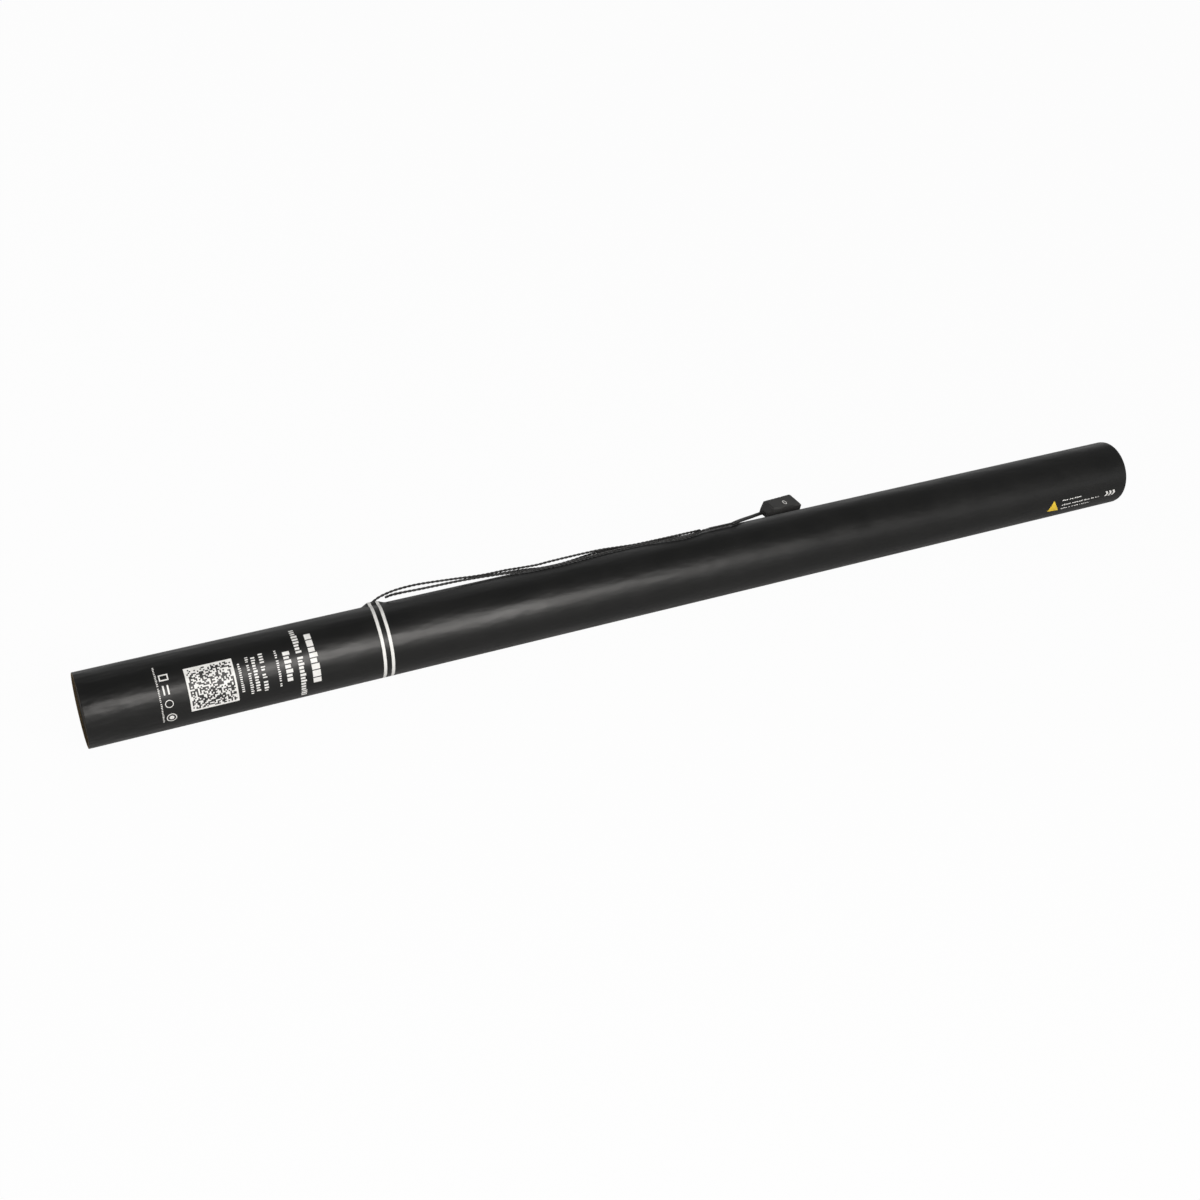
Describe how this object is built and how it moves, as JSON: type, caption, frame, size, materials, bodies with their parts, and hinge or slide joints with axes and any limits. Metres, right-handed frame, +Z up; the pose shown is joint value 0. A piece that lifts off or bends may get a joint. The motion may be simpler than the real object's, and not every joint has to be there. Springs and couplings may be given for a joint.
{
  "type": "confetti cannon",
  "caption": "Hand-held electric confetti cannon: a long black paper tube with a firing lead taped along it, a small plug, and gas bottle, valve, trigger and foil slips inside.",
  "frame": {"origin": "on the ground plane, under the middle of the tube's length", "axes": "+X along the tube to the muzzle, +Y to the side that the plug hangs on, +Z up"},
  "size_m": [0.8, 0.0624, 0.0517],
  "materials": {
    "wrap": "satin",
    "tube_paper": "matt",
    "black_plastic": "satin",
    "pale_plastic": "satin",
    "rubber": "matt",
    "bottle": "satin",
    "brass": "satin",
    "steel": "satin",
    "board": "satin",
    "ceramic": "matt",
    "thread": "matt",
    "glue": "gloss",
    "felt": "matt",
    "tissue": "matt",
    "foil_green": "gloss",
    "foil_red": "gloss",
    "foil_purple": "gloss",
    "foil_gold": "gloss",
    "foil_steel": "gloss",
    "foil_blue": "gloss",
    "foil_silver": "gloss",
    "lead": "satin",
    "tape": "gloss",
    "plug_plastic": "satin",
    "gold": "gloss"
  },
  "bodies": {
    "barrel": {"barrel_tube": "tube_paper", "outer_wrap": "wrap", "breech_plug": "black_plastic", "bottle_pad": "rubber", "gas_bottle": "bottle", "bottle_collar": "pale_plastic", "valve_body": "brass", "valve_gasket": "rubber", "valve_seat": "pale_plastic", "trigger_yoke": "black_plastic", "yoke_screws": "steel", "pivot_pin": "steel", "lever_spring": "steel", "trigger_board": "board", "board_screws": "steel", "heater": "ceramic", "fuse_thread": "thread", "terminal_block": "board", "inner_lead": "lead", "exit_glue": "glue", "baffle_disc": "tube_paper", "lead_hank": "lead", "clear_tape": "tape", "lead_tail": "lead", "plug_boot": "lead", "plug_housing": "plug_plastic", "plug_contacts": "gold"},
    "lever": {"sear_lever": "steel", "thread_loop": "thread"},
    "plunger": {"valve_plunger": "steel", "plunger_ring": "rubber"},
    "load": {"wad": "felt", "green_slips": "foil_green", "red_slips": "foil_red", "purple_slips": "foil_purple", "gold_slips": "foil_gold", "steel_slips": "foil_steel", "blue_slips": "foil_blue", "silver_slips": "foil_silver", "paper_bands": "tissue", "front_pad": "tissue"},
    "cap": {"muzzle_cap": "black_plastic"}
  },
  "joints": [
    {"name": "sear_hinge", "type": "hinge", "parent": "barrel", "child": "lever", "pos_m": [-0.2155, 0, 0.03325], "axis": [0, -1, 0], "range_deg": [0, 30]},
    {"name": "plunger_slide", "type": "slide", "parent": "barrel", "child": "plunger", "axis": [1, 0, 0], "range_m": [0, 0.0045]},
    {"name": "load_slide", "type": "slide", "parent": "barrel", "child": "load", "axis": [1, 0, 0], "range_m": [0, 0.577]},
    {"name": "cap_slide", "type": "slide", "parent": "load", "child": "cap", "axis": [1, 0, 0], "range_m": [0, 0.04]}
  ],
  "couplings": [
    {"joint": "plunger_slide", "follows": "sear_hinge", "m_per_rad": 0.00859}
  ]
}
